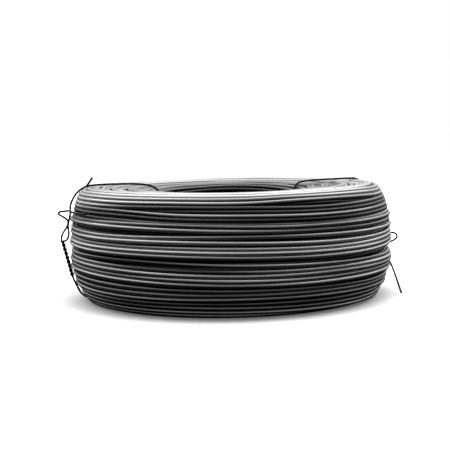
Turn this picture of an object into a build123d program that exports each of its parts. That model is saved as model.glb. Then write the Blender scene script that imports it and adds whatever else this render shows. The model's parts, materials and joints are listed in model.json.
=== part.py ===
from build123d import *
from math import cos, hypot, radians, sin
import os

# Driving dimensions, in millimetres and degrees. The coil's axis is +Z and it lies flat on z = 0.

# The wound coil
WIRE_D = 2.4
TURN_GAP = 0.8  # the turns lie a little loose beside each other
OUTER_R = 100.0
BORE_R = 43.0
HEIGHT = 70.0
GROOVE = 3.0  # how far back every second turn lies, in the layer behind
TOP_DISH = 3.0  # the top falls this much from its shoulder to the bore
TOP_SHOULDER_IN = 7.5
TOP_SHOULDER_DOWN = 20.0
FOOT_SHOULDER_IN = 8.5
FOOT_SHOULDER_UP = 18.0
BORE_EDGE_R = 7.0
RIM_R = 9.0  # rounding between an end and its shoulder
WALL_R = 26.0  # rounding between a shoulder and the outside
REST_INSET = 6.4  # from the rounded edge of the bore to the flat ring that carries the weight

# Both tie wires: a closed ring round the section, its ends twisted together on the outside
TIE_D = 1.3
TIE_SIDES = 6
TIE_GAP = 0.15  # over the outer turns, and beside the tie in its groove in the bore and foot
EYE_TIP_R = 1.4  # bend of the wire at the tip of an eye
LEFT_TIE_AZ = 188.0
RIGHT_TIE_AZ = 20.0

# The left tie's eye above its twist, its pointed loop and its loose ends
LEFT_TWIST_Z = 20.0
LEFT_TWIST_LENGTH = 17.0
LEFT_EYE_LENGTH = 10.0
LEFT_EYE_OUT = 4.5
LEFT_LOOP_DOWN = 15.0  # below the top
LEFT_LOOP_DROP = 7.0
LEFT_LOOP_OUT = 6.5
LEFT_LOOP_TIP_R = 0.9
LEFT_TAIL_ANGLE = 26.0
LEFT_TAIL_RISE = 0.5
STUB_IN = 12.0  # from the outside
STUB_RISE = 5.0
STUB_LEAN = 3.0

# The right tie's eye stands well out, and its long loose end reaches down to the floor
RIGHT_TWIST_Z = 18.0
RIGHT_TWIST_LENGTH = 10.0
RIGHT_EYE_LENGTH = 6.0
RIGHT_EYE_OUT = 19.5
RIGHT_TAIL_START_OUT = 3.5
RIGHT_TAIL_ANGLE = -33.0
RIGHT_TAIL_OUT = 6.0
RIGHT_TAIL_END_Z = 1.5

TIE_R = TIE_D / 2
TWIST_R = OUTER_R + TIE_GAP + TIE_D  # where the twist of two strands lies


def section_path(bore=0.0, top=0.0, wall=0.0, foot=0.0):
    """Outline of the coil's half section in XZ, each side moved out by its amount.

    It starts low on the bore's wall and runs up it, outwards over the top and round.
    """
    r0, r1 = BORE_R - bore, OUTER_R + wall
    z0, z1 = -foot, HEIGHT + top
    rim = OUTER_R - TOP_SHOULDER_IN
    top_slope = hypot(TOP_SHOULDER_IN, TOP_SHOULDER_DOWN)
    foot_slope = hypot(FOOT_SHOULDER_IN, FOOT_SHOULDER_UP)
    points = [
        (r0, 0, z1 - TOP_DISH * (rim - r0) / (rim - BORE_R)),
        (rim + top * (top_slope - TOP_SHOULDER_IN) / TOP_SHOULDER_DOWN, 0, z1),
        (r1, 0, HEIGHT - TOP_SHOULDER_DOWN + wall * (top_slope - TOP_SHOULDER_DOWN) / TOP_SHOULDER_IN),
        (r1, 0, FOOT_SHOULDER_UP - wall * (foot_slope - FOOT_SHOULDER_UP) / FOOT_SHOULDER_IN),
        (OUTER_R - FOOT_SHOULDER_IN + foot * (foot_slope - FOOT_SHOULDER_IN) / FOOT_SHOULDER_UP, 0, z0),
        (r0, 0, z0),
    ]
    radii = [
        BORE_EDGE_R + (bore + top) / 2,
        RIM_R + top,
        WALL_R + wall,
        WALL_R + wall,
        RIM_R + foot,
        BORE_EDGE_R + (foot + bore) / 2,
    ]
    return FilletPolyline(*points, radius=radii, close=True)


def turned_edge(path, start, stop):
    """Points one turn apart along a stretch of the outline, every second one sunk."""
    count = 2 * round((stop - start) / (WIRE_D + TURN_GAP) / 2)
    points = []
    for i in range(count + 1):
        share = (start + (stop - start) * i / count) / path.length
        inward = Vector(0, 1, 0).cross(path.tangent_at(share))
        points.append(path.position_at(share) + inward * (GROOVE if i % 2 else 0.0))
    return points


def wound_coil():
    """The wound wire as one turned solid: an edge for each turn on its ends and outside."""
    path = section_path()
    lengths = [stretch.length for stretch in path.edges()]
    bore_wall, foot, bore_edge = lengths[0], lengths[-2], lengths[-1]
    rest_start = path.length - bore_edge - foot
    rest_stop = path.length - bore_edge - REST_INSET
    edge = turned_edge(path, bore_wall, rest_start) + turned_edge(path, rest_stop, path.length)
    return revolve(make_face(Polyline(*edge, close=True)), Axis.Z)


def tie_seat():
    """What a tie takes out of the coil at azimuth 0: all outside its inner edge, in bore and foot."""
    kept = make_face(section_path(bore=-TIE_D, top=TIE_GAP, wall=TIE_GAP, foot=-TIE_D))
    reach = OUTER_R + HEIGHT
    around = Plane.XZ * Pos(reach / 2, HEIGHT / 2) * Rectangle(reach, 2 * HEIGHT)
    return extrude(around - kept, TIE_R + TIE_GAP, both=True)


def spot(angle, r, z):
    """A point near the tie: its angle round the coil from the tie, its radius and its height."""
    return Vector(r * cos(radians(angle)), r * sin(radians(angle)), z)


def bar(path, r=TIE_R):
    """A wire of radius r along the path."""
    return sweep(Plane(path @ 0, z_dir=path % 0) * RegularPolygon(r, TIE_SIDES), path)


def ring_path():
    """Centre line of a tie's ring: over the top and the outside, sunk in the foot and the bore."""
    over = TIE_R + TIE_GAP
    return section_path(bore=-TIE_R, top=over, wall=over, foot=-TIE_R)


def strand_r(z):
    """How far out the ring's centre line lies at a height on the outside."""
    level = Line(((BORE_R + OUTER_R) / 2, 0, z), (2 * OUTER_R, 0, z))
    return ring_path().intersect(level)[0].X


def tied_ring(twist_z, twist_length):
    """The closed ring round the section, and the thick twist on the outside."""
    twist = Line(spot(0, TWIST_R, twist_z), spot(0, TWIST_R, twist_z + twist_length))
    return bar(ring_path()) + bar(twist, TIE_D)


def loop(low_z, tip_z, high_z, out, tip_r=EYE_TIP_R):
    """A bight of wire that leaves the ring at one height, turns at its tip and comes back."""
    tip = [spot(0, OUTER_R + out, tip_z - tip_r), spot(0, OUTER_R + out, tip_z + tip_r)]
    low, high = spot(0, strand_r(low_z), low_z), spot(0, strand_r(high_z), high_z)
    return bar(FilletPolyline(low, *tip, high, radius=tip_r))


def left_tie():
    eye_z = LEFT_TWIST_Z + LEFT_TWIST_LENGTH - TIE_D
    eye = loop(eye_z, eye_z + LEFT_EYE_LENGTH / 3, eye_z + LEFT_EYE_LENGTH, LEFT_EYE_OUT)
    loop_z = HEIGHT - LEFT_LOOP_DOWN
    tip_z = loop_z - LEFT_LOOP_DROP / 4
    pointed = loop(loop_z - LEFT_LOOP_DROP, tip_z, loop_z, LEFT_LOOP_OUT, LEFT_LOOP_TIP_R)
    tail_z, tail_r = loop_z + LEFT_TAIL_RISE, strand_r(loop_z) + TIE_R
    tail = ThreePointArc(
        spot(0, strand_r(loop_z), loop_z),
        spot(LEFT_TAIL_ANGLE / 2, tail_r, (loop_z + tail_z) / 2),
        spot(LEFT_TAIL_ANGLE, tail_r + TIE_R, tail_z),
    )
    stub_r, stub_z = OUTER_R - STUB_IN, HEIGHT + TIE_GAP + TIE_R
    stub = Line(spot(0, stub_r, stub_z), spot(0, stub_r - STUB_LEAN, stub_z + STUB_RISE))
    ring = tied_ring(LEFT_TWIST_Z, LEFT_TWIST_LENGTH)
    return Rot(Z=LEFT_TIE_AZ) * (ring + eye + pointed + bar(tail) + bar(stub))


def right_tie():
    eye_z = RIGHT_TWIST_Z + RIGHT_TWIST_LENGTH - TIE_D
    eye = loop(eye_z, eye_z + RIGHT_EYE_LENGTH / 2, eye_z + RIGHT_EYE_LENGTH, RIGHT_EYE_OUT)
    tail = Line(
        spot(0, OUTER_R + RIGHT_TAIL_START_OUT, eye_z + TIE_R),
        spot(RIGHT_TAIL_ANGLE, OUTER_R + RIGHT_TAIL_OUT, RIGHT_TAIL_END_Z),
    )
    return Rot(Z=RIGHT_TIE_AZ) * (tied_ring(RIGHT_TWIST_Z, RIGHT_TWIST_LENGTH) + eye + bar(tail))


coil = wound_coil() - [Rot(Z=az) * tie_seat() for az in (LEFT_TIE_AZ, RIGHT_TIE_AZ)]
nodes = {
    "wire_coil": coil,
    "tie_wire_left": left_tie(),
    "tie_wire_right": right_tie(),
}

os.makedirs("parts", exist_ok=True)
for name, shape in nodes.items():
    export_step(shape, f"parts/{name}.step")
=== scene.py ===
import json
from math import ceil, pi, radians, tau

import bpy
import numpy as np
from mathutils import Matrix, Vector


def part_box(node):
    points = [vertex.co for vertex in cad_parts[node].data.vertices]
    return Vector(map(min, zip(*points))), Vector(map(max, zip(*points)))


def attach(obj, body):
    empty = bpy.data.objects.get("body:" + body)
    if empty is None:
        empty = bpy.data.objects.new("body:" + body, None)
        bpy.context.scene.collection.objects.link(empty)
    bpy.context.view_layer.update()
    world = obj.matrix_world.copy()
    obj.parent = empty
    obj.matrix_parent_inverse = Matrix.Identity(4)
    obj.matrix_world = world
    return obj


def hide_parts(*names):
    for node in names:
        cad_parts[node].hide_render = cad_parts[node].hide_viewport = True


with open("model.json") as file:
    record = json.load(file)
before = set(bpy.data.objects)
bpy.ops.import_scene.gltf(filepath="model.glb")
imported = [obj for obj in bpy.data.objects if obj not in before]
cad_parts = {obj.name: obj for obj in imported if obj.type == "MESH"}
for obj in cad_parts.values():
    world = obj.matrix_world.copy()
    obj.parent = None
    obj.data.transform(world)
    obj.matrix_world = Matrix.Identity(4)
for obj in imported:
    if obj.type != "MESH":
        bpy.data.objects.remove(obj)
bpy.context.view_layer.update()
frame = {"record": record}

# Sizes are in metres. MM turns a size in millimetres into metres.
MM = 0.001

# The coil, from the frame
OUTER_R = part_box("wire_coil")[1].x
MOUNTS = {mount["name"]: mount for mount in frame["record"]["mounts"]}
BORE_R = MOUNTS["bore"]["dims"]["r_mm"] * MM

# The half section that the turns fill: from the bore out over the dished top and down
HEIGHT = 70 * MM  # where the top and its shoulder would meet, before they are rounded
TOP_DISH = 3 * MM
TOP_SHOULDER = (7.5 * MM, 20 * MM)  # in from the outside, down from the top
FOOT_SHOULDER = (8.5 * MM, 18 * MM)  # in from the outside, up from the floor
CORNERS = np.array([
    (BORE_R, 0),
    (BORE_R, HEIGHT - TOP_DISH),
    (OUTER_R - TOP_SHOULDER[0], HEIGHT),
    (OUTER_R, HEIGHT - TOP_SHOULDER[1]),
    (OUTER_R, FOOT_SHOULDER[1]),
    (OUTER_R - FOOT_SHOULDER[0], 0),
])
CORNER_R = (7 * MM, 7 * MM, 9 * MM, 26 * MM, 26 * MM, 9 * MM)
CORNER_POINTS = 24

# The layers, from the inside out. In millimetres, how deep a layer lies, its pitch, how far its
# turns wander in bundles and one by one, and how far they crowd. Then its mesh's sides and pieces.
LAYERS = (
    {"depth": 5.7, "pitch": 2.6, "bundle": 0.5, "single": 0.2, "crowd": 0, "sides": 6, "pieces": 1},
    {"depth": 3.6, "pitch": 2.75, "bundle": 1.0, "single": 0.5, "crowd": 0.3, "sides": 8, "pieces": 2},
    {"depth": 1.6, "pitch": 2.92, "bundle": 1.8, "single": 1.9, "crowd": 1.3, "sides": 12, "pieces": 2},
)

# The lay: where the turns of a layer should run
WIRE_R = 1.2 * MM
STATIONS = 144  # places round the coil at which the turns are worked out
LAY_SEED = 11
BUNDLE_SWING = 0.04  # how far the waves of a bundle are from whole waves in a turn
SINGLE_SWING = 0.45
CROWD_CYCLES = (0.23, 0.37)  # waves in a turn by which turns crowd together and leave gaps
LEAST_STEP = 1.2 * WIRE_R  # a turn lies at least this far beyond the one before it
RIM_TIGHT = 0.28  # how much nearer the turns lie to each other on the top's rim in front
RIM_WIDTH = 15 * MM
LOWER_IN_FRONT = 1.0 * MM  # the top is a little lower in front than at the sides

# Resting: where the turns come to lie on the ones under them
SINK = 1.0 * MM  # how far a turn may lie below its layer
SLIDE = 1.1 * MM  # how far a turn slides sideways into the groove under it
SLIDE_TRIES = 7
SLIDE_DEPTH = 0.25 * MM  # a groove deeper than this draws the turn in
SLIDE_BLEND = 12  # stations over which a slide comes and goes
CREST = 2  # stations either way over which a turn keeps the height of a crossing
STIFFNESS = 4  # stations over which the wire bridges
RELAX_STEPS = 40
RELAX_REACH = 5 * MM  # turns that lie further apart aren't compared
RELAX_PUSH = 0.45  # share of an overlap by which each of two turns gives way
RELAX_SMOOTH = 0.4  # share by which a point moves towards its neighbours on the wire

# The inner turns, as one ridged core
CORE_DEPTH = 6.6 * MM
CORE_PITCH = 2.6 * MM
CORE_STATIONS = 96  # places round the core
CORE_RIDGE = (0, 0.3, 0.9, 0.3)  # millimetres under the outline, over a ridge and its groove

# The ties
TIE_R = 0.65 * MM
TIE_SIDES = 10
LAP_POINTS = 10  # in a lap of a twist
RING_POINTS = 60
TIE_AZIMUTHS = (188, 20)  # of the left and the right tie, in degrees
TIE_OVER = 0.75 * MM  # a tie's centre line over the outline on top and outside
TIE_SUNK = 0.7 * MM  # and inside it in the bore and foot
PINCH = 1.5 * MM  # how far a tie draws the turns in, in the bore and foot
PINCH_WIDTH = 6  # degrees


class Outline:
    """The half section's rounded outline, each straight side moved in by its inset.

    Points and normals can be had at any length along it. It starts in the middle of the foot
    and runs in to the bore, up it, out over the top and down the outside.
    """

    def __init__(self, inset, least_r=2 * MM):
        insets = np.broadcast_to(inset, 6)  # bore, top, its shoulder, outside, foot's shoulder, foot
        along = np.roll(CORNERS, -1, 0) - CORNERS
        along /= np.linalg.norm(along, axis=1, keepdims=True)
        inward = np.stack([along[:, 1], -along[:, 0]], axis=1)
        points = []
        for i, corner in enumerate(CORNERS):
            corner = corner + np.linalg.solve(inward[[i - 1, i]], insets[[i - 1, i]])
            radius = max(CORNER_R[i] - (insets[i - 1] + insets[i]) / 2, least_r)
            u, v = -along[i - 1], along[i]
            half = np.arccos(u @ v) / 2
            centre = corner + (u + v) / np.linalg.norm(u + v) * radius / np.sin(half)
            start, stop = (corner + w * radius / np.tan(half) - centre for w in (u, v))
            for share in np.linspace(0, 1, CORNER_POINTS):
                arm = start * (1 - share) + stop * share
                points.append(centre + arm / np.linalg.norm(arm) * radius)
        middle = (points[0] + points[-1]) / 2
        self.points = np.array([middle] + points + [middle])
        self.lengths = np.r_[0, np.cumsum(np.linalg.norm(np.diff(self.points, axis=0), axis=1))]
        self.total = self.lengths[-1]

    def at(self, s):
        s = np.mod(s, self.total)
        return np.stack([np.interp(s, self.lengths, self.points[:, i]) for i in (0, 1)], axis=-1)

    def outward(self, s, reach=1.0 * MM):
        along = self.at(s + reach) - self.at(s - reach)
        along /= np.linalg.norm(along, axis=-1, keepdims=True)
        return np.stack([-along[..., 1], along[..., 0]], axis=-1)

    def nearest(self, place, count=2000):
        """The length along the outline at which it passes nearest to a place."""
        s = np.linspace(0, self.total, count, endpoint=False)
        return s[np.linalg.norm(self.at(s) - place, axis=-1).argmin()]


def waves(rng, t, swing):
    """Smooth noise of about unit size along a winding of t turns.

    With no swing it has whole waves in each turn, so that neighbouring turns run side by side.
    """
    total = np.zeros_like(t)
    for whole in (1, 2, 3):
        cycles = whole + rng.uniform(-swing, swing)
        total += rng.uniform(0.5, 1.0) * np.sin(tau * (cycles * t + rng.random())) / whole
    return total / 1.5


def planned_lay(rng, layer, outline):
    """Length along the outline at each station of a layer's winding, and its number of turns."""
    turns = round(outline.total / (layer["pitch"] * MM))
    t = np.arange((turns + 1) * STATIONS) / STATIONS
    s = t * outline.total / turns
    off = s - outline.nearest((OUTER_R - TOP_SHOULDER[0], HEIGHT))
    front = np.clip(0.4 - 0.6 * np.sin(tau * t), 0, 1)  # 1 in front, falling to 0 at the back
    rim = np.exp(-((off / RIM_WIDTH) ** 2)) * front
    s = s - RIM_TIGHT * rim * off
    s = s + layer["bundle"] * MM * waves(rng, t, BUNDLE_SWING)
    s = s + layer["single"] * MM * waves(rng, t, SINGLE_SWING)
    for cycles in CROWD_CYCLES:
        s = s + (1 - rim) * layer["crowd"] * MM * np.sin(tau * (cycles * t + rng.random()))
    for k in range(STATIONS, len(s), STATIONS):
        s[k : k + STATIONS] = np.maximum(s[k : k + STATIONS], s[k - STATIONS : k] + LEAST_STEP)
    return s, turns


def smoothed(values, width):
    """Values along the wire, smoothed over width stations each way."""
    kernel = np.hanning(2 * width + 3)[1:-1]
    padded = np.pad(values, (width, width), mode="edge")
    return np.convolve(padded, kernel / kernel.sum(), mode="valid")


def rest_height(outline, s, under):
    """How high over its layer's outline a wire laid at s comes to rest on the wires under it."""
    if len(under) == 0:
        return np.zeros(s.shape)
    up = outline.outward(s)
    arm = under - outline.at(s)
    along = (arm * up).sum(axis=-1)
    aside = arm[..., 0] * up[..., 1] - arm[..., 1] * up[..., 0]
    lift = (2 * WIRE_R) ** 2 - aside**2
    height = np.where(lift > 0, along + np.sqrt(np.clip(lift, 0, None)), -SINK)
    return np.clip(height.max(axis=0), -SINK, None)


def groove_slide(outline, s, under):
    """How far a wire laid at s slides sideways into the grooves between the wires under it."""
    slides = np.linspace(-SLIDE, SLIDE, SLIDE_TRIES)
    rests = np.array([rest_height(outline, s + slide, under) for slide in slides])
    weight = np.exp(-(rests - rests.min(axis=0)) / SLIDE_DEPTH)
    return smoothed((weight * slides[:, None]).sum(axis=0) / weight.sum(axis=0), SLIDE_BLEND)


def lay_turns():
    """The layers laid turn by turn, each turn on those before it: arrays of (station, (r, z))."""
    rng = np.random.default_rng(LAY_SEED)
    ahead = 3 * STIFFNESS  # stations of the next turn that a turn looks at, to run on into it
    laid = np.zeros((0, STATIONS, 2))
    layers = []
    for number, layer in enumerate(LAYERS):
        outline = Outline(layer["depth"] * MM)
        plan, turns = planned_lay(rng, layer, outline)
        tail = np.zeros(0)
        for k in range(turns):
            s = plan[k * STATIONS : (k + 1) * STATIONS + ahead]
            under = np.concatenate([laid, laid[:, :ahead]], axis=1)
            if number > 0:
                s = s + groove_slide(outline, s, under)
            height = rest_height(outline, s, under)
            own = outline.at(s) + outline.outward(s) * height[:, None]
            next_under = np.concatenate([laid[:, :ahead], own[None, :ahead]])
            height[STATIONS:] = rest_height(outline, s[STATIONS:], next_under)
            height = np.r_[tail, height]
            crests = [height[max(i - CREST, 0) : i + CREST + 1].max() for i in range(len(height))]
            height = smoothed(np.array(crests), STIFFNESS)[len(tail) :][:STATIONS]
            tail = height[-ahead:]
            s = s[:STATIONS]
            points = outline.at(s) + outline.outward(s) * height[:, None]
            laid = np.concatenate([laid, points[None]])
        layers.append(laid[-turns:].reshape(-1, 2))
    return layers


def pinch():
    """How far the ties draw the turns in at each station."""
    azimuth = 360 * np.arange(STATIONS) / STATIONS
    total = np.zeros(STATIONS)
    for tie_azimuth in TIE_AZIMUTHS:
        off = (azimuth - tie_azimuth + 180) % 360 - 180
        total += PINCH * np.exp(-((off / PINCH_WIDTH) ** 2))
    return total


class Keeper:
    """Keeps wires inside the coil's outline, by the nearest place on it, looked up on a grid."""

    CELL = 0.5 * MM
    MARGIN = 5 * MM
    PLACES = 900
    BATCHES = 60  # of the grid's cells, so that little memory is used at a time

    def __init__(self):
        self.outline = Outline(WIRE_R)
        count = int((OUTER_R + 4 * self.MARGIN) / self.CELL)
        steps = np.arange(count) * self.CELL - self.MARGIN
        r, z = np.meshgrid(steps, steps, indexing="ij")
        cells = np.stack([r, z], axis=-1).reshape(-1, 2)
        s = np.linspace(0, self.outline.total, self.PLACES, endpoint=False)
        places = self.outline.at(s)
        best = []
        for batch in np.array_split(cells, self.BATCHES):
            best.append(s[((batch[:, None] - places) ** 2).sum(axis=2).argmin(axis=1)])
        self.nearest = np.concatenate(best).reshape(count, count)

    def inside(self, points, room):
        """The points moved in where they stand out, in the bore and foot by the room more."""
        index = np.round((points + self.MARGIN) / self.CELL).astype(int)
        index = np.clip(index, 0, len(self.nearest) - 1)
        s = self.nearest[index[..., 0], index[..., 1]]
        normal = self.outline.outward(s)
        drawn = room * np.clip(-normal.sum(axis=-1), 0, 1)
        out = ((points - self.outline.at(s)) * normal).sum(axis=-1)
        return points - normal * np.clip(out + drawn, 0, None)[..., None]


def relaxed(layers):
    """The turns pushed apart where they overlap, kept smooth, and kept inside the outline."""
    first = np.cumsum([0] + [len(layer) // STATIONS for layer in layers])
    x = np.concatenate(layers).reshape(-1, STATIONS, 2)
    i, j = np.triu_indices(len(x), 1)
    near = np.linalg.norm(x[i] - x[j], axis=-1).min(axis=1) < RELAX_REACH
    i, j = i[near], j[near]

    keeper = Keeper()
    room = pinch()
    for _ in range(RELAX_STEPS):
        gap = x[i] - x[j]
        dist = np.linalg.norm(gap, axis=-1, keepdims=True) + 1e-9
        push = RELAX_PUSH * np.clip(2 * WIRE_R - dist, 0, None) * gap / dist
        np.add.at(x, i, push)
        np.add.at(x, j, -push)
        for a, b in zip(first[:-1], first[1:]):
            chain = x[a:b].reshape(-1, 2)
            chain[1:-1] += RELAX_SMOOTH * ((chain[:-2] + chain[2:]) / 2 - chain[1:-1])
        x = keeper.inside(x, room)
    return [x[a:b].reshape(-1, 2) for a, b in zip(first[:-1], first[1:])]


def turn_line(chain):
    """A layer's chain as points in space, and its two directions across: outwards and down."""
    azimuth = tau * np.arange(len(chain)) / STATIONS
    out = np.stack([np.cos(azimuth), np.sin(azimuth), np.zeros(len(chain))], axis=1)
    up = np.tile((0, 0, 1.0), (len(chain), 1))
    lower = 1 - LOWER_IN_FRONT / HEIGHT * np.clip(-np.sin(azimuth), 0, 1)[:, None] ** 2
    line = out * chain[:, :1] + up * chain[:, 1:] * lower
    return line, out, -up


def smooth_line(points, step=0.6 * MM):
    """A smooth line through the points, as points about a step apart."""
    ends = np.vstack([2 * points[0] - points[1], points, 2 * points[-1] - points[-2]])
    line = []
    for p0, p1, p2, p3 in zip(ends, ends[1:], ends[2:], ends[3:]):
        count = max(2, int(np.linalg.norm(p2 - p1) / step))
        u = np.linspace(0, 1, count, endpoint=False)[:, None]
        line.append(0.5 * (2 * p1 + (p2 - p0) * u + (2 * p0 - 5 * p1 + 4 * p2 - p3) * u**2
                           + (3 * p1 - p0 - 3 * p2 + p3) * u**3))
    return np.vstack(line + [points[-1:]])


def across(line, first_side=(0.3, 0.2, 1.0)):
    """Two directions across a line at each of its points, turning as little as they can."""
    tangent = np.gradient(line, axis=0)
    tangent /= np.linalg.norm(tangent, axis=1, keepdims=True)
    side = np.cross(tangent[0], first_side)
    sides = []
    for t in tangent:
        side = side - t * (side @ t)
        side = side / np.linalg.norm(side)
        sides.append(side)
    sides = np.array(sides)
    return sides, np.cross(tangent, sides)


# Sharper edges aren't smoothed: the cut ends, the core's grooves and creases in the ties' tight bends
SHARP_ANGLE = radians(75)


def new_piece(name, verts, faces, uv, lay, steel):
    """A mesh object of the points and faces, with its texture map, the points' lay and its steel."""
    mesh = bpy.data.meshes.new(name)
    mesh.from_pydata(verts.reshape(-1, 3).tolist(), [], faces)
    mesh.uv_layers.new(name="OFBake").data.foreach_set("uv", np.ravel(uv))
    mesh.attributes.new("lay", "FLOAT_VECTOR", "POINT").data.foreach_set("vector", np.ravel(lay))
    mesh.shade_smooth()
    mesh.set_sharp_from_angle(angle=SHARP_ANGLE)
    mesh.materials.append(steel)
    piece = bpy.data.objects.new(name, mesh)
    bpy.context.collection.objects.link(piece)
    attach(piece, "root")
    return piece


def wire_piece(name, wires, radius, sides, steel, begin=0.0):
    """One piece of wires: a closed tube round each wire, given as its line and two directions across.

    A point's lay is its length along the wire, counted from begin, and its direction round it.
    The texture map has a row for each stretch of a wire, and a last row for the ends.
    """
    angle = tau * np.arange(sides) / sides
    circle = np.stack([np.cos(angle), np.sin(angle)], axis=1)
    rows = sum(ceil(len(line) / STATIONS) for line, _, _ in wires) + 1
    verts, quads, lay, uvs, caps, cap_uvs = [], [], [], [], [], []
    start = row = 0
    for line, side, up in wires:
        n = len(line)
        arms = side[:, None] * circle[:, :1] + up[:, None] * circle[:, 1:]
        verts.append((line[:, None] + radius * arms).reshape(-1, 3))
        length = begin + np.r_[0, np.cumsum(np.linalg.norm(np.diff(line, axis=0), axis=1))]
        lay.append(np.hstack([np.repeat(length, sides)[:, None], np.tile(circle * radius, (n, 1))]))

        k, m = np.meshgrid(np.arange(n - 1), np.arange(sides), indexing="ij")
        after = (m + 1) % sides
        quad = [k * sides + m, k * sides + after, (k + 1) * sides + after, (k + 1) * sides + m]
        quads.append(start + np.stack(quad, -1).reshape(-1, 4))
        u = (k % STATIONS)[..., None] / STATIONS + np.array((0, 0, 1, 1)) / STATIONS
        v = (row + k // STATIONS + 0.05)[..., None] + 0.9 * (m[..., None] + np.array((0, 1, 1, 0))) / sides
        uvs.append(np.stack([u, v / rows], -1).reshape(-1, 2))

        stop = start + n * sides
        for cap in (list(range(start, start + sides))[::-1], list(range(stop - sides, stop))):
            middle = ((len(caps) + 0.5) / (2 * len(wires)), (rows - 0.5) / rows)
            cap_uvs.append(circle * (0.2 / len(wires), 0.4 / rows) + middle)
            caps.append(cap)
        start = stop
        row += ceil(n / STATIONS)
    faces = np.vstack(quads).tolist() + caps
    return new_piece(name, np.vstack(verts), faces, np.vstack(uvs + cap_uvs), np.vstack(lay), steel)


class Tree:
    """The nodes of a material or a world, each added and linked in one call."""

    def __init__(self, owner):
        owner.use_nodes = True
        self.nodes = owner.node_tree.nodes
        self.links = owner.node_tree.links

    def feed(self, node, inputs):
        """Links a node's inputs to the sockets given for them, or sets them to the values."""
        for name, value in inputs.items():
            if isinstance(value, bpy.types.NodeSocket):
                self.links.new(value, node.inputs[name])
            else:
                node.inputs[name].default_value = value

    def add(self, kind, inputs=None, **settings):
        """A new node of the kind, with its settings and its inputs."""
        node = self.nodes.new(kind)
        for name, value in settings.items():
            setattr(node, name, value)
        self.feed(node, inputs or {})
        return node

    def math(self, operation, a, b):
        return self.add("ShaderNodeMath", {0: a, 1: b}, operation=operation).outputs[0]

    def length(self, vector):
        return self.add("ShaderNodeVectorMath", {0: vector}, operation="LENGTH").outputs["Value"]

    def times(self, vector, factors):
        return self.add("ShaderNodeVectorMath", {0: vector, 1: factors}, operation="MULTIPLY").outputs[0]

    def mix(self, a, b, factor, data_type="RGBA"):
        inputs = {"A": a, "B": b, "Factor": factor}
        return self.add("ShaderNodeMix", inputs, data_type=data_type).outputs["Result"]

    def noise(self, vector, scale, detail):
        """Noise over a vector that is first stretched by scale."""
        inputs = {"Vector": self.times(vector, scale), "Scale": 1.0, "Detail": detail}
        return self.add("ShaderNodeTexNoise", inputs).outputs["Fac"]

    def ranged(self, value, low, high, smooth=False):
        """A value brought from the range low to the range high."""
        names = ("Value", "From Min", "From Max", "To Min", "To Max")
        kind = "SMOOTHSTEP" if smooth else "LINEAR"
        inputs = dict(zip(names, (value, *low, *high)))
        return self.add("ShaderNodeMapRange", inputs, interpolation_type=kind).outputs[0]


# Painted light: how much lighter the steel is painted at each height, in millimetres, for the bright
# bands of light on the rim and the belly; black below 0.1 mm
LIGHT_BANDS = (
    (0, 0), (0.1, 0.45), (18, 0.45), (30, 0.5), (37, 0.7), (43, 0.7), (47, 0.35), (51, 0.5), (55, 0.25),
    (61, 0.3), (65.5, 0.7), (70, 0.62),
)
BORE_SHADE_R = (BORE_R + 3 * MM, BORE_R + 42 * MM)  # painted shade: the colour is darkened from the second radius in to the first, at the bore
WORN = (0.42, 0.42, 0.42, 1)
OIL_ROUGHNESS = 0.25

# Scales of the steel's noise, along the wire and in the two directions across it
TURN_TONE = (6, 160, 160)
STREAKS = (25, 1500, 1500)
FINE_LINES = (40, 5200, 5200)
SCUFFS = (120, 900, 900)
LIGHT_BAND_WOBBLE = (9, 9, 25)  # of the painted light bands' heights, over the place


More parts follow.
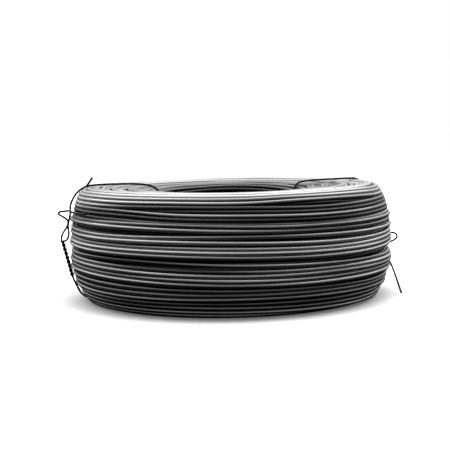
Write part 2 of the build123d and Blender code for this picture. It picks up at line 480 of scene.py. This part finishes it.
def wire_steel(name, dark, pale, rough, scuffed, bore_shade=1.0, oil=0.0):
    """Blackened steel wire, with drawing streaks and fine lines along it, scuffs where it rubbed, and
    painted light and shade.

    Its colour lies between dark and pale, set at random from turn to turn and by painted light bands
    at set heights; its roughness lies in the range rough, and its scuffs show by the share scuffed.
    Towards the bore the colour is darkened by painted shade, to the share bore_shade at the bore.
    oil is the weight of the oil film on it.
    """
    steel = bpy.data.materials.new(name)
    tree = Tree(steel)
    lay = tree.add("ShaderNodeAttribute", attribute_name="lay").outputs["Vector"]
    place = tree.add("ShaderNodeTexCoord").outputs["Object"]

    height = tree.add("ShaderNodeSeparateXYZ", {0: place}).outputs["Z"]
    wobble = tree.ranged(tree.noise(place, LIGHT_BAND_WOBBLE, 1), (0.3, 0.7), (-3 * MM, 3 * MM))
    height = tree.ranged(tree.math("ADD", height, wobble), (0, HEIGHT), (0, 1))
    # Painted light: the steel is painted lighter in bands at set heights, for the bright bands of light
    light_bands = tree.add("ShaderNodeValToRGB", {"Fac": height})
    stops = light_bands.color_ramp.elements
    stops.remove(stops[1])
    stops[0].color = (LIGHT_BANDS[0][1],) * 3 + (1,)
    for z, lightness in LIGHT_BANDS[1:]:
        stops.new(z * MM / HEIGHT).color = (lightness, lightness, lightness, 1)

    turn_tone = tree.ranged(tree.noise(lay, TURN_TONE, 2), (0.3, 0.7), (0.15, 0.85))
    # The painted light bands added to the random differences from turn to turn
    tone_and_light = tree.math("ADD", light_bands.outputs["Color"], turn_tone)
    oxide_and_light = tree.mix((*dark, 1), (*pale, 1), tree.ranged(tone_and_light, (0.7, 1.3), (0, 1)))
    rubbed = tree.ranged(tree.noise(lay, SCUFFS, 4), (0.66, 0.74), (0, scuffed), smooth=True)
    worn_and_light = tree.mix(oxide_and_light, WORN, rubbed)
    # Painted shade: the colour is darkened towards the bore
    radius = tree.length(tree.times(place, (1, 1, 0)))
    shade = tree.ranged(radius, BORE_SHADE_R, (bore_shade, 1.0), smooth=True)
    colour = tree.add("ShaderNodeVectorMath", {0: worn_and_light, "Scale": shade}, operation="SCALE")
    bump = {"Height": tree.noise(lay, FINE_LINES, 2), "Strength": 0.15, "Distance": 0.02 * MM}
    tree.feed(tree.nodes["Principled BSDF"], {
        "Base Color": colour.outputs[0],
        "Roughness": tree.ranged(tree.noise(lay, STREAKS, 3), (0.25, 0.75), rough),
        "Normal": tree.add("ShaderNodeBump", bump).outputs[0],
        "Metallic": 1.0,
        "Coat Weight": oil,
        "Coat Roughness": OIL_ROUGHNESS,
    })
    return steel


OUTER_STEEL = wire_steel(
    "outer_steel", (0.05, 0.05, 0.052), (0.40, 0.40, 0.405), (0.27, 0.43), 0.3, bore_shade=0.15, oil=0.35)
# Painted shade: a darker copy of the same steel, for the layers under the outer one and the core
SHADED_INNER_STEEL = wire_steel(
    "inner_steel_painted_shade", (0.01, 0.01, 0.01), (0.07, 0.07, 0.07), (0.32, 0.48), 0.1, bore_shade=0.5)
TIE_STEEL = wire_steel("tie_steel", (0.01, 0.01, 0.01), (0.03, 0.03, 0.03), (0.55, 0.7), 0.1)


def outer_turns():
    """The layers of single turns: one wire through each, also where it is cut into two pieces."""
    pieces = []
    for number, (chain, layer) in enumerate(zip(relaxed(lay_turns()), LAYERS), 1):
        wire = turn_line(chain)
        # The layers under the outer one take the darker copy of the steel: painted shade in the gaps
        steel = OUTER_STEEL if number == len(LAYERS) else SHADED_INNER_STEEL
        cuts = [round(len(chain) * cut / layer["pieces"]) for cut in range(layer["pieces"] + 1)]
        for part, (a, b) in enumerate(zip(cuts, cuts[1:]), 1):
            begin = np.linalg.norm(np.diff(wire[0][: a + 1], axis=0), axis=1).sum()
            stretch = [values[a : b + 1] for values in wire]
            name = f"turns_layer_{number}_{part}"
            pieces.append(wire_piece(name, [stretch], WIRE_R, layer["sides"], steel, begin))
    return pieces


def inner_turns():
    """The turns further in, as one ridged body."""
    outline = Outline(CORE_DEPTH)
    ridges = round(outline.total / CORE_PITCH)
    count = len(CORE_RIDGE) * ridges
    s = outline.total * np.arange(count) / count
    section = outline.at(s) - outline.outward(s) * np.tile(CORE_RIDGE, ridges)[:, None] * MM
    r, z = section[:, :1], np.repeat(section[:, 1:], CORE_STATIONS, 1)
    azimuth = tau * np.arange(CORE_STATIONS) / CORE_STATIONS
    verts = np.stack([r * np.cos(azimuth), r * np.sin(azimuth), z], -1)
    k, m = np.meshgrid(np.arange(count), np.arange(CORE_STATIONS), indexing="ij")
    row, next_row = k * CORE_STATIONS, (k + 1) % count * CORE_STATIONS
    after = (m + 1) % CORE_STATIONS
    quads = np.stack([row + m, next_row + m, next_row + after, row + after], -1).reshape(-1, 4)
    u = (m[..., None] + np.array((0, 0, 1, 1))) / CORE_STATIONS
    v = (k[..., None] + np.array((0, 1, 1, 0))) / count
    lay = np.stack([np.broadcast_to(azimuth * OUTER_R, z.shape), np.broadcast_to(r, z.shape), z], -1)
    return new_piece("inner_turns", verts, quads.tolist(), np.stack([u, v], -1), lay, SHADED_INNER_STEEL)


def strand(low, high, laps, phase):
    """One of the two strands of a twist, from its low end to its high end, each given as (r, z)."""
    low, high = np.array(low), np.array(high)
    t = np.linspace(0, 1, round(LAP_POINTS * laps) + 1)
    angle = tau * laps * t + phase
    along = (high - low) / np.linalg.norm(high - low)
    r, z = (low + (high - low) * t[:, None]).T
    out = TIE_R / MM * np.cos(angle)
    return np.stack([r + out * along[1], TIE_R / MM * np.sin(angle), z - out * along[0]], axis=1)


def ring(bore_z, outside_z):
    """A tie's ring from the bore's wall down, out under the foot and up the outside."""
    line = Outline((TIE_SUNK, -TIE_OVER, -TIE_OVER, -TIE_OVER, -TIE_OVER, TIE_SUNK))
    start = line.nearest((BORE_R, bore_z * MM))
    stop = line.nearest((OUTER_R, outside_z * MM)) - line.total
    places = line.at(np.linspace(start, stop, RING_POINTS)) / MM
    return np.insert(places, 1, 0, axis=1)


def tie(name, azimuth, *strands):
    """A tie at an azimuth, from the points of its wires in its own plane."""
    turn = np.array(Matrix.Rotation(radians(azimuth), 3, "Z"))
    lines = [smooth_line(np.array(points) * MM) @ turn.T for points in strands]
    return wire_piece(name, [(line, *across(line)) for line in lines], TIE_R, TIE_SIDES, TIE_STEEL)


# The ties' points in millimetres: radius, place to the side of the tie's plane, and height.
# A twist is its low end, its high end and its laps.
LEFT_TWIST = ((98.9, 14.5), (104.3, 36.6), 4.25)
LEFT_EYE_AND_TOP = (
    (102.8, 0.5, 36.6), (101.2, 0.7, 38.0), (100.4, 0.7, 40.7), (100.5, 0.7, 43.7), (100.7, 0.7, 46.0),
    (100.0, 0.6, 49.2), (99.3, 0.5, 52.4), (98.9, 0.3, 55.3), (99.0, 0.1, 57.6), (97.8, 0, 61.2),
    (95.6, 0, 64.9), (92.9, 0, 67.6), (88.8, 0, 69.8), (84, 0, 70.5), (76, 0, 70.8), (66, 0, 70.8),
    (57, 0, 70.5), (50.6, 0, 69.5), (46.6, 0, 67.8), (44.4, 0, 65.0),
)
LEFT_EYE_AND_TAIL = (
    (104.9, -0.3, 38.4), (104.4, -0.5, 40.4), (103.2, -0.7, 42.6), (101.9, -0.7, 44.4),
    (101.1, -0.7, 46.0), (100.6, -0.7, 48.6), (102.2, -0.5, 50.6), (104.8, -0.3, 52.3),
    (106.4, 0, 53.5), (105.4, 0.3, 54.6), (102.6, 0.8, 55.0), (100.3, 1.5, 55.2), (99.5, 4, 55.4),
    (98.9, 12, 55.6), (96.9, 22, 55.6), (94.0, 33, 55.6), (89.6, 43, 56.0),
)
STUB = ((88.6, 0, 70.0), (87.6, 0, 71.4), (86.2, 0.3, 73.3), (85.0, 0.6, 75.2))

RIGHT_TWIST = ((100.6, 19.0), (101.6, 27.0), 1.25)
RIGHT_EYE_AND_TOP = (
    (104.0, 0.2, 27.4), (109.0, 0.1, 26.8), (113.6, 0, 26.5), (116.6, 0, 27.4), (118.7, 0, 28.6),
    (119.2, 0, 30.2), (118.4, 0, 31.6), (116.0, 0, 32.5), (111.0, 0, 33.2), (105.5, 0, 34.2),
    (102.2, 0, 36.2), (101.2, 0, 39.5), (100.8, 0, 45), (99.6, 0, 53), (97.8, 0, 59.5), (95.2, 0, 64.9),
    (92.4, 0, 67.6), (88.4, 0, 69.6), (84, 0, 70.0), (72, 0, 69.9), (58.8, 0, 69.6), (50, 0, 69.0),
    (46.4, 0, 67.6), (44.3, 0, 64.8),
)
RIGHT_TAIL = (
    (103.3, -0.8, 28.6), (103.6, -2.4, 28.4), (103.8, -6, 26.8), (97.2, -32, 14.6), (88.8, -57.8, 2.1),
)

for piece in [*outer_turns(), inner_turns()]:
    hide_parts("wire_coil")

left_line = np.vstack([
    strand(*LEFT_TWIST, pi / 2), LEFT_EYE_AND_TOP, ring(bore_z=60, outside_z=11),
    strand(*LEFT_TWIST, -pi / 2), LEFT_EYE_AND_TAIL,
])
left_tie = tie("left_tie_wire", TIE_AZIMUTHS[0], left_line, STUB)
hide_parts("tie_wire_left")
right_line = np.vstack([
    strand(*RIGHT_TWIST, pi), RIGHT_EYE_AND_TOP, ring(bore_z=60, outside_z=14),
    strand(*RIGHT_TWIST, 0), RIGHT_TAIL,
])
right_tie = tie("right_tie_wire", TIE_AZIMUTHS[1], right_line)
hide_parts("tie_wire_right")

# The floor and the surroundings: white to the camera, darker in the wires' gloss and in the light
# that they give
FLOOR_HALF = 6.0
FLOOR_AT = (-3 * MM, 8 * MM, 0)  # the painted shadow's centre: it reaches a little less far in front and to the right
SHADOW_R = (96 * MM, 135 * MM)  # painted shadow: from the first radius to the second, the floor's glow rises to full
SHADOW_GLOW = (0.12, 1.0)
FLOOR_SEEN = (0.9, 0.9, 0.9, 1)
FLOOR_UNSEEN = (0.02, 0.02, 0.02, 1)
AROUND_UNSEEN = 0.12


def make_floor():
    """A white floor that shows the coil's shadow, with a painted shadow round the coil that fades out into
    white.
    """
    h = FLOOR_HALF
    mesh = bpy.data.meshes.new("floor")
    mesh.from_pydata([(-h, -h, 0), (h, -h, 0), (h, h, 0), (-h, h, 0)], [], [(0, 1, 2, 3)])
    floor = bpy.data.objects.new("floor", mesh)
    floor.location = FLOOR_AT
    bpy.context.collection.objects.link(floor)

    white = bpy.data.materials.new("floor_white")
    tree = Tree(white)
    tree.nodes.remove(tree.nodes["Principled BSDF"])
    seen = tree.add("ShaderNodeLightPath").outputs["Is Camera Ray"]
    diffuse = tree.add("ShaderNodeBsdfDiffuse", {"Color": tree.mix(FLOOR_UNSEEN, FLOOR_SEEN, seen)})
    reach = tree.length(tree.add("ShaderNodeTexCoord").outputs["Object"])
    # Painted shadow: the glow to the camera is lower near the coil
    strength = tree.math("MULTIPLY", seen, tree.ranged(reach, SHADOW_R, SHADOW_GLOW, smooth=True))
    glow = tree.add("ShaderNodeEmission", {"Strength": strength})
    both = tree.add("ShaderNodeAddShader", {0: diffuse.outputs[0], 1: glow.outputs[0]})
    tree.feed(tree.nodes["Material Output"], {"Surface": both.outputs[0]})
    mesh.materials.append(white)


def make_surroundings():
    """White where seen; in the gloss bright above and behind, and darker low in front."""
    world = bpy.data.worlds.new("surroundings")
    bpy.context.scene.world = world
    tree = Tree(world)
    path = tree.add("ShaderNodeLightPath").outputs
    towards = tree.add("ShaderNodeTexCoord").outputs["Generated"]
    towards = tree.add("ShaderNodeSeparateXYZ", {0: towards}).outputs
    front = tree.ranged(towards["Z"], (-0.5, 0.4), (0.02, 0.7))
    mirrored = tree.ranged(towards["Y"], (0.0, 0.85), (front, 0.68), smooth=True)
    unseen = tree.mix(AROUND_UNSEEN, mirrored, path["Is Glossy Ray"], "FLOAT")
    strength = tree.mix(unseen, 1.0, path["Is Camera Ray"], "FLOAT")
    tree.feed(tree.nodes["Background"], {"Color": (1, 1, 1, 1), "Strength": strength})


def soft_light(name, place, size, power, colour=(1, 1, 1), target=(0, 0, 0.03)):
    """A rectangular lamp that is turned to the target."""
    data = bpy.data.lights.new(name, "AREA")
    data.shape = "RECTANGLE"
    data.size, data.size_y = size
    data.energy = power
    data.color = colour
    lamp = bpy.data.objects.new(name, data)
    bpy.context.collection.objects.link(lamp)
    lamp.location = place
    lamp.rotation_euler = (Vector(target) - Vector(place)).to_track_quat("-Z", "Y").to_euler()


make_floor()
make_surroundings()
soft_light("overhead", (0.0, 0.33, 0.94), (2.4, 1.5), 30.0)
soft_light("behind", (0.0, 1.1, 0.32), (2.4, 0.6), 1.6)
soft_light("strip", (0.0, -0.42, 0.86), (1.6, 0.16), 0.8)
soft_light("left", (-1.0, 0.45, 0.4), (0.9, 0.5), 0.8)
soft_light("right", (1.0, 0.45, 0.4), (0.9, 0.5), 1.0, (0.93, 0.95, 1.0))

# The camera
FOCAL_PX = 985  # focal length in the photo's pixels
PHOTO_PX = 450  # width of the photo
SENSOR = 36
CAMERA_AT = (-3.25 * MM, -617.0 * MM, 99.1 * MM)
PITCH_DOWN = 0.0902
ROLL = 0.0191
camera_data = bpy.data.cameras.new("camera")
camera_data.sensor_fit = "HORIZONTAL"
camera_data.sensor_width = SENSOR
camera_data.lens = FOCAL_PX / PHOTO_PX * SENSOR
camera = bpy.data.objects.new("camera", camera_data)
bpy.context.collection.objects.link(camera)
tilt = Matrix.Rotation(pi / 2 - PITCH_DOWN, 4, "X") @ Matrix.Rotation(-ROLL, 4, "Z")
camera.matrix_world = Matrix.Translation(CAMERA_AT) @ tilt
bpy.context.scene.camera = camera
bpy.context.scene.view_settings.view_transform = "Standard"
